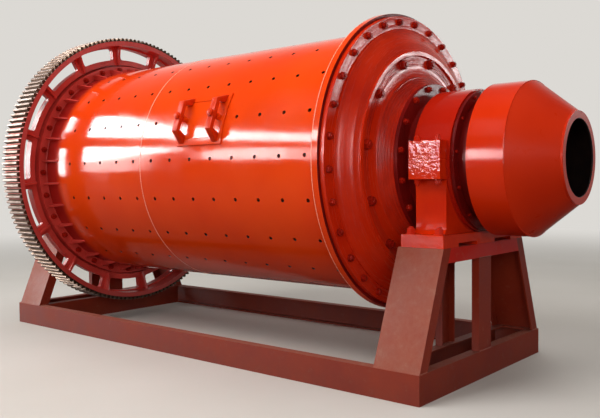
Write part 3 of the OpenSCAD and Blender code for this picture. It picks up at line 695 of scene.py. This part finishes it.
# %% Bearing skins
for end in ("feed", "discharge"):
    for part, bevel, finish, slot in (("bearing_cap", 0.003, bearing_enamel, "enamel"),
                                      ("bearing_pedestal", 0.003, bearing_enamel, "enamel"),
                                      ("seal_ring", 0.002, painted_shade_enamel, "dark_enamel")):
        skin = turned_normals(skin_of(end + "_" + part, bevel=bevel))
        paint(skin, finish)
        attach(skin, "stand")
        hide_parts(end + "_" + part)
        print(skin.name, "faces:", len(skin.data.polygons))
    cad[end + "_bearing_bush"].data.materials.clear()
    cad[end + "_bearing_bush"].data.materials.append(tooth_steel)

# %% [markdown]
# ## Base and stands
# These CAD nodes already have the right shape, so they only take the primer.

# %% Primer on the base
primed = [name for name in cad
          if name.startswith("base_") or name.endswith(("_leg", "_post", "_top_frame"))]
for name in primed:
    cad[name].data.materials.clear()
    cad[name].data.materials.append(oversprayed_primer if "top_frame" in name else primer)
print("primed nodes:", len(primed))


# %% [markdown]
# ## Bolts
# A bolt here is a hexagon head on a washer. The head is a six-sided cylinder whose top face is
# inset and raised into the chamfer that a real head has. One pattern of each size is modelled at
# the origin and copied round its circle, each copy turned a little as a spanner leaves it.

# %% One bolt pattern
def hex_bolt(name, across, height, washer, thick, finish, stud=0.0):
    """A hexagon head (or nut with a stud end) standing on a washer, along +Z."""
    parts = []
    steps = [(6, across / 2 / math.cos(math.pi / 6), height, thick, 0.10),
             (16, washer / 2, thick, 0.0, 0.05)]
    if stud:
        steps.append((8, stud / 2, height * 0.5, thick + height * 0.9, 0.15))
    for sides, radius, tall, base, chamfer in steps:
        bpy.ops.object.select_all(action="DESELECT")
        bpy.ops.mesh.primitive_cylinder_add(vertices=sides, radius=radius, depth=tall,
                                            location=(0, 0, base + tall / 2))
        part = bpy.context.active_object
        bpy.ops.object.transform_apply(location=True, rotation=True, scale=True)
        bpy.ops.object.mode_set(mode="EDIT")
        bpy.ops.mesh.select_all(action="DESELECT")
        bpy.ops.object.mode_set(mode="OBJECT")
        for face in part.data.polygons:
            face.select = face.normal.z > 0.9
        bpy.ops.object.mode_set(mode="EDIT")
        bpy.ops.mesh.select_mode(type="FACE")
        bpy.ops.mesh.inset(thickness=radius * chamfer)
        bpy.ops.transform.translate(value=(0, 0, radius * chamfer * 0.5))
        bpy.ops.object.mode_set(mode="OBJECT")
        parts.append(part)
    bolt = join(name, parts)
    bolt.data.materials.append(finish)
    return bolt


random.seed(7)
flange_bolt = hex_bolt("flange_bolt", 0.038, 0.018, 0.050, 0.005, bolt_enamel, 0.024)
trunnion_bolt = hex_bolt("trunnion_bolt", 0.055, 0.026, 0.072, 0.006, bolt_enamel, 0.036)
collar_bolt = hex_bolt("collar_bolt", 0.036, 0.018, 0.046, 0.004, bolt_enamel, 0.024)
small_bolt = hex_bolt("small_bolt", 0.019, 0.009, 0.024, 0.003, bolt_enamel)
ear_bolt = hex_bolt("ear_bolt", 0.036, 0.022, 0.048, 0.005, nut_enamel, 0.024)
sole_bolt = hex_bolt("sole_bolt", 0.050, 0.030, 0.066, 0.006, nut_enamel, 0.032)
bolt_patterns = (flange_bolt, trunnion_bolt, collar_bolt, small_bolt, ear_bolt, sole_bolt)
print("bolt patterns:", [pattern.name for pattern in bolt_patterns])


def ring_places(x, radius, first, count, facing):
    """Places round the axis, standing on a face that looks along +X or -X."""
    places = []
    for k in range(count):
        spot = Matrix.Translation(drum_point(x, radius, first + 360 * k / count))
        lean = Matrix.Rotation(facing * math.pi / 2, 4, "Y")
        places.append(spot @ lean @ Matrix.Rotation(random.uniform(0, 1.05), 4, "Z"))
    return places


# %% [markdown]
# ## Bolt circles of the drum
# Thirty bolts hold each head, twelve each trunnion, sixteen each neck collar. The angles were
# read off the photograph for the feed end and the gear end.

# %% Setting the drum's bolts
SEAT = 0.015                       # how deep a trunnion's plate is set in its head
FLANGE_BACK = 0.047                # from the feed joint to the back of the shell's flange
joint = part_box("feed_shell_flange")[1].x
seat_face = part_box("feed_head")[1].x - SEAT
far_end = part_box("discharge_head")[0].x
far_seat = far_end + SEAT
# Name, pattern, x of the face it stands on, circle radius, first angle, count, side it looks to.
drum_bolts = [
    ("feed_flange_bolts", flange_bolt, joint + FLANGE_FACE, 0.982, 8.6, 30, 1),
    ("feed_flange_nuts", flange_bolt, joint - FLANGE_BACK, 0.982, 8.6, 30, -1),
    ("feed_trunnion_bolts", trunnion_bolt, seat_face, 0.703, 8.2, 12, 1),
    ("feed_collar_bolts", collar_bolt, seat_face + 0.130, 0.504, 7.4, 16, 1),
    ("gear_flange_bolts", flange_bolt, GEAR_JOINT + FLANGE_FACE + PROUD, 0.977, 10.2, 30, 1),
    ("discharge_flange_nuts", flange_bolt, far_end + 0.062, 0.977, 10.2, 30, -1),
    ("discharge_trunnion_bolts", trunnion_bolt, far_seat, 0.703, 8.2, 12, -1),
    ("discharge_collar_bolts", collar_bolt, far_seat - 0.076, 0.504, 7.4, 16, -1),
]
for name, pattern, x, radius, first, count, facing in drum_bolts:
    piece = place_copies(name, pattern, ring_places(x, radius, first, count, facing))
    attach(piece, "drum")

# %% [markdown]
# ## Bolts on the bearings
# Two bolts go down through each ear of a cap, with nuts under the pedestal's ear. Two more hold
# each side of the sole plate, and a ring of small screws holds each seal.

# %% Setting the bearing bolts
EAR_TOP, EAR_UNDER = 0.118, -0.124   # heights over the mill axis
EAR_Y, SOLE_Y = 0.512, 0.545         # how far the bolts stand out from the axis
for end, side in (("feed", 1), ("discharge", -1)):
    low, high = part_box(end + "_bearing_cap")
    middle = (low.x + high.x) / 2
    tops, unders, soles = [], [], []
    for hand in (-1, 1):
        for dx in (-0.073, 0.073):
            spin = Matrix.Rotation(random.uniform(0, 1), 4, "Z")
            y = hand * EAR_Y
            tops.append(Matrix.Translation((middle + dx, y, AXIS + EAR_TOP)) @ spin)
            unders.append(Matrix.Translation((middle + dx, y, AXIS + EAR_UNDER))
                          @ Matrix.Rotation(math.pi, 4, "X") @ spin)
        for dx in (-0.100, 0.100):
            soles.append(Matrix.Translation((middle + dx, hand * SOLE_Y, AXIS + SOLE_TOP))
                         @ spin)
    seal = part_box(end + "_seal_ring")
    seal_face = seal[1].x if side > 0 else seal[0].x
    for name, pattern, places in (
            (end + "_cap_bolts", ear_bolt, tops), (end + "_cap_nuts", ear_bolt, unders),
            (end + "_sole_bolts", sole_bolt, soles),
            (end + "_seal_screws", small_bolt, ring_places(seal_face, 0.436, 6, 12, side))):
        piece = place_copies(name, pattern, places)
        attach(piece, "stand")
for pattern in bolt_patterns:
    bpy.data.objects.remove(pattern)


# %% [markdown]
# ## Weld beads
# A weld bead is a low ripple of metal. Here it is a curve whose round section swells and
# shrinks from point to point, one ripple every few millimetres, and is then made a mesh.

# %% A rippled bead along a path
def bead(name, points, size, closed=False):
    """A weld bead through points; its radius ripples."""
    curve = bpy.data.curves.new(name, "CURVE")
    curve.dimensions = "3D"
    curve.bevel_depth = size
    curve.bevel_resolution = 1
    curve.use_fill_caps = True
    line = curve.splines.new("POLY")
    line.points.add(len(points) - 1)
    line.use_cyclic_u = closed
    for i, point in enumerate(points):
        line.points[i].co = (*point, 1)
        line.points[i].radius = (1.0, 0.82)[i % 2] * random.uniform(0.94, 1.06)
    piece = bpy.data.objects.new(name, curve)
    bpy.context.scene.collection.objects.link(piece)
    pick(piece)
    bpy.ops.object.convert(target="MESH")
    bpy.ops.object.shade_smooth_by_angle(angle=math.radians(50))
    return bpy.context.active_object


def straight(start, end, pitch=0.012):
    """Points along a straight weld."""
    start, end = Vector(start), Vector(end)
    count = max(2, int((end - start).length / pitch))
    return [start.lerp(end, k / count) for k in range(count + 1)]


def hoop(x, radius, count):
    """Points round the drum."""
    return [drum_point(x, radius, 360 * k / count) for k in range(count)]


# %% [markdown]
# ## Welds on the drum
# One ring weld joins the two courses of the shell, and others join each flange to the shell and
# the feeder's cone to its barrel and mouth ring. One runs round the back edge of the feed flange.
# Each bead is sunk until only its crown stands proud. The seam and the back edge of the feed
# flange are pale pink, a painted highlight along their crowns.

# %% Drum welds
seam_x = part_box("shell_feed_course")[0].x
cone_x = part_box("feeder_barrel")[1].x
mouth_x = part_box("feeder_mouth_ring")[0].x
# Name, x, circle radius, radius of the bead, points round it, finish.
drum_welds = [
    ("shell_seam_weld", seam_x, 0.9385, 0.0045, 600, painted_highlight_enamel),
    ("feed_flange_weld", joint - 0.048, 0.9410, 0.0080, 500, shell_enamel),
    ("feed_flange_edge", joint - 0.046, 1.0430, 0.0050, 420, painted_highlight_enamel),
    ("gear_flange_weld", GEAR_JOINT + 0.038 + PROUD, 0.9420, 0.0075, 420, gear_enamel),
    ("feeder_cone_weld", cone_x, 0.4955, 0.0040, 300, feeder_enamel),
    ("feeder_mouth_weld", mouth_x, 0.2890, 0.0035, 180, feeder_enamel),
]
for name, x, radius, size, count, finish in drum_welds:
    piece = bead(name, hoop(x, radius, count), size, closed=True)
    paint(piece, finish)
    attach(piece, "drum")
    print(name, "faces:", len(piece.data.polygons))

# %% [markdown]
# ## Welds on the stands and base
# Legs, posts and rails are fillet welded to the base and to each other. The beads follow the
# joints of each stand and are joined into one piece per stand.

# %% Stand welds
base_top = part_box("base_front_beam")[1].z
for end in ("feed", "discharge"):
    leg_low, leg_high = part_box(end + "_front_leg")
    beads = []
    for side in (-1, 1):
        foot = side * -leg_low.y
        beads.append(bead("foot_weld", straight((leg_low.x, foot, base_top),
                                                (leg_high.x, foot, base_top)), 0.006))
        for x in (leg_low.x, leg_high.x):
            beads.append(bead("side_weld", straight((x, foot, base_top),
                                                    (x, foot - side * 0.09, base_top)), 0.005))
    for low, high in (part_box(end + "_outer_post"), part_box(end + "_inner_post")):
        outer = high.x if abs(high.x) > abs(low.x) else low.x
        for z in (base_top, high.z):
            beads.append(bead("post_weld", straight((outer, low.y, z), (outer, high.y, z)),
                              0.005))
    welds = join(end + "_stand_welds", beads)
    paint(welds, primer)
    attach(welds, "stand")
    print(welds.name, "faces:", len(welds.data.polygons))

# %% [markdown]
# ## The floor
# The setting is a plain studio with a pale floor. The floor sends less light back to the mill
# than it shows to the camera, so shadows keep depth. Gloss sees it dark as well, except towards
# the pale backdrop, as the unlit side of a workshop is dark, so the enamel keeps its colour.
# Far away the floor fades into the tone of the backdrop.

# %% Floor
BACKDROP_SIDE = (-0.64, 0.77, 0.0)   # the way from the mill to the pale backdrop
BACKDROP = "#DCD9D4"


def off_backdrop(tree, way):
    """Zero where a direction points to the backdrop, one where it points elsewhere."""
    towards = add(tree, "ShaderNodeVectorMath", {"operation": "DOT_PRODUCT",
                  1: BACKDROP_SIDE}, {0: way})
    return add(tree, "ShaderNodeMapRange", {"From Min": 0.62, "From Max": 0.28},
               {"Value": towards.outputs["Value"]})


bpy.ops.object.select_all(action="DESELECT")
bpy.ops.mesh.primitive_plane_add(size=160, location=(0, 0, 0))
floor = bpy.context.active_object
floor.name = "studio_floor"
material, tree, where = new_finish("pale_floor", Roughness=0.9, Specular_IOR_Level=0.2)
shader = tree.nodes["Principled BSDF"]
patches = add(tree, "ShaderNodeTexNoise", {"Scale": 0.6, "Detail": 4.0}, {"Vector": where})
tone = two_tones(tree, patches, "#C9C4BC", "#CFCAC3")
rays = add(tree, "ShaderNodeLightPath")
apart = add(tree, "ShaderNodeSeparateXYZ", links={0: where})
front = add(tree, "ShaderNodeMapRange", {"From Min": -0.6, "From Max": -2.5},
            {"Value": apart.outputs["Y"]})
way = add(tree, "ShaderNodeVectorMath", {"operation": "NORMALIZE"}, {0: where})
round_about = add(tree, "ShaderNodeMath", {"operation": "MAXIMUM"},
                  {0: front, 1: off_backdrop(tree, way)})
mirrored = add(tree, "ShaderNodeMath", {"operation": "MULTIPLY"},
               {0: rays.outputs["Is Glossy Ray"], 1: round_about})
unlit = add(tree, "ShaderNodeMath", {"operation": "MAXIMUM"},
            {0: rays.outputs["Is Diffuse Ray"], 1: mirrored})
far = add(tree, "ShaderNodeVectorMath", {"operation": "LENGTH"}, {0: where})
fade = add(tree, "ShaderNodeMapRange", {"From Min": 4.5, "From Max": 16.0,
           "interpolation_type": "SMOOTHSTEP"}, {"Value": far.outputs["Value"]})
haze = add(tree, "ShaderNodeEmission", {"Color": linear(BACKDROP), "Strength": 1.0})
surface = add(tree, "ShaderNodeMixShader", links={0: fade, 1: shader, 2: haze})
dark = add(tree, "ShaderNodeMixShader", links={0: unlit, 1: surface, 2: shader})
wire(tree, Base_Color=tinted(tree, tone, unlit, "#74625A"))
tree.links.new(dark.outputs["Shader"], tree.nodes["Material Output"].inputs["Surface"])
floor.data.materials.append(material)
print("floor:", floor.name)

# %% [markdown]
# ## The world
# To the camera the world has the tone of the backdrop. It is dimmer for diffuse light, so that
# the lamps shape the mill. Gloss sees it darker overhead, and darker still away from the backdrop.

# %% World
world = bpy.data.worlds.new("pale_studio")
bpy.context.scene.world = world
world.use_nodes = True
sky = world.node_tree
sky.nodes.clear()
rays = add(sky, "ShaderNodeLightPath")
seen = add(sky, "ShaderNodeMath", {"operation": "MAXIMUM"},
           {0: rays.outputs["Is Camera Ray"], 1: rays.outputs["Is Glossy Ray"]})
shown = add(sky, "ShaderNodeMath", {"operation": "MAXIMUM"},
            {0: seen, 1: rays.outputs["Is Transmission Ray"]})
where = add(sky, "ShaderNodeTexCoord").outputs["Generated"]
height = add(sky, "ShaderNodeSeparateXYZ", links={0: where})
ceiling = add(sky, "ShaderNodeMapRange", {"From Min": 0.42, "From Max": 0.7},
              {"Value": height.outputs["Z"]})
tone = add(sky, "ShaderNodeMix", {"data_type": "RGBA", 6: linear(BACKDROP),
           7: linear("#6E6A66")}, {0: ceiling})
mirrored = add(sky, "ShaderNodeMath", {"operation": "MULTIPLY"},
               {0: rays.outputs["Is Glossy Ray"], 1: off_backdrop(sky, where)})
walls = tinted(sky, tone.outputs[2], mirrored, "#3C3835")
dim = add(sky, "ShaderNodeBackground", {"Color": linear("#F4F2EE"), "Strength": 0.38})
bright = add(sky, "ShaderNodeBackground", {"Strength": 1.0}, {"Color": walls})
mixed = add(sky, "ShaderNodeMixShader", links={0: shown, 1: dim, 2: bright})
add(sky, "ShaderNodeOutputWorld", links={"Surface": mixed})
print("world:", world.name)

# %% [markdown]
# ## Lamps
# One broad soft lamp stands at the front left, where the drum was lit. A second hangs over the
# mill and a third fills in from the right. They give diffuse light alone, because in gloss
# they would show as rectangles that the photograph doesn't have.

# %% Lamps
def lamp(name, place, aim, wide, tall, watts, mirrored=False):
    """A soft rectangular lamp pointed at a spot; a mirrored one shows in gloss alone."""
    light = bpy.data.lights.new(name, "AREA")
    light.shape = "RECTANGLE"
    light.size = wide
    light.size_y = tall
    light.energy = watts
    holder = bpy.data.objects.new(name, light)
    bpy.context.scene.collection.objects.link(holder)
    holder.location = place
    holder.rotation_euler = (Vector(aim) - Vector(place)).to_track_quat("-Z", "Y").to_euler()
    holder.visible_glossy = mirrored
    holder.visible_diffuse = not mirrored
    holder.visible_camera = False


lamp("soft_key", (-3.0, -6.5, 8.5), (0, 0, 1.4), 7.0, 4.0, 735)
lamp("soft_top", (0.5, 1.0, 8.5), (0, 0, 1.4), 8.0, 5.0, 240)
lamp("soft_fill", (6.0, -7.5, 3.0), (0.5, 0, 1.2), 5.0, 3.0, 220)

# %% [markdown]
# ## Windows that gloss sees
# The long highlights on the drum are rows of workshop windows. Each row is a bright panel in one
# upright plane in front of the mill, and gloss alone sees it. Its corners were found by following
# the outline of a highlight from the lens to the enamel and on to that plane. The last four
# windows, at the sides and far behind, are rectangular lamps that only gloss sees.

# %% Windows
WINDOW_WALL = -6.5                 # y of the plane that the panels stand in


def window(name, radiance, corners):
    """A bright panel that gloss alone sees; corners are x and z."""
    mesh = bpy.data.meshes.new(name)
    mesh.from_pydata([(x, WINDOW_WALL, z) for x, z in corners], [], [list(range(len(corners)))])
    glow = bpy.data.materials.new(name)
    glow.use_nodes = True
    glow.node_tree.nodes.clear()
    light = add(glow.node_tree, "ShaderNodeEmission", {"Strength": radiance})
    add(glow.node_tree, "ShaderNodeOutputMaterial", links={"Surface": light})
    mesh.materials.append(glow)
    panel = bpy.data.objects.new(name, mesh)
    bpy.context.scene.collection.objects.link(panel)
    panel.visible_camera = panel.visible_diffuse = panel.visible_shadow = False


window("upper_windows", 38, [
    (-12.0, 6.26), (-14.3, 8.6), (-18.6, 13.0), (-17.9, 13.0), (-14.3, 10.7), (-9.1, 6.96),
    (-6.0, 5.25), (-3.4, 4.15), (-2.8, 3.95), (-2.8, 3.05), (-3.6, 3.49), (-5.7, 4.18),
    (-8.8, 5.28)])
window("upper_windows_far", 38, [(-14.35, 7.84), (-21.4, 14.02), (-26.0, 17.0), (-26.0, 11.5)])
window("lower_windows", 36, [
    (-10.55, 4.2), (-10.42, 4.4), (-8.2, 3.92), (-7.0, 3.6), (-6.8, 3.3), (-7.8, 2.88),
    (-8.4, 2.63), (-9.03, 2.43), (-9.85, 2.3)])
window("lower_windows_dusty", 11, [
    (-9.85, 2.3), (-9.03, 2.43), (-8.4, 2.63), (-7.8, 2.88), (-7.4, 2.6), (-7.6, 1.4),
    (-8.0, 1.08), (-8.95, 1.16), (-9.77, 1.24)])
window("lower_windows_far", 70, [
    (-11.3, 4.33), (-10.37, 1.2), (-10.85, 1.1), (-10.95, 0.05), (-12.3, 0.05), (-13.0, 2.0),
    (-13.5, 5.2)])
window("right_windows", 26, [
    (-6.0, 2.9), (-5.5, 3.17), (-4.84, 3.14), (-3.93, 2.97), (-3.85, 1.87), (-4.41, 1.92),
    (-5.14, 2.03), (-5.85, 2.2)])
window("right_windows_dusty", 13, [(-3.93, 2.97), (-3.0, 2.68), (-2.9, 1.7), (-3.85, 1.87)])
window("ear_window", 70, [(-2.55, 2.16), (-2.55, 2.6), (-1.3, 2.6), (-1.3, 2.16)])
window("feeder_window", 26, [(-1.28, 1.6), (-1.28, 3.3), (-0.40, 2.75), (-0.30, 1.45)])
window("foot_window", 9, [(-2.3, 0.22), (-2.3, 0.46), (-1.2, 0.46), (-1.2, 0.22)])
lamp("side_window", (10.5, -0.6, 2.6), (1.5, -0.6, 1.6), 2.6, 3.2, 300, mirrored=True)
lamp("far_window", (6.9, 9.1, 3.70), (1.43, 0, 2.1), 2.6, 0.85, 160, mirrored=True)
lamp("far_window_dim", (6.9, 6.7, 3.15), (1.43, 0, 2.1), 1.0, 1.0, 19, mirrored=True)
lamp("near_window", (7.6, -7.0, 3.3), (2.3, 0, 1.5), 3.4, 1.2, 100, mirrored=True)
bpy.context.scene.view_settings.view_transform = "Standard"
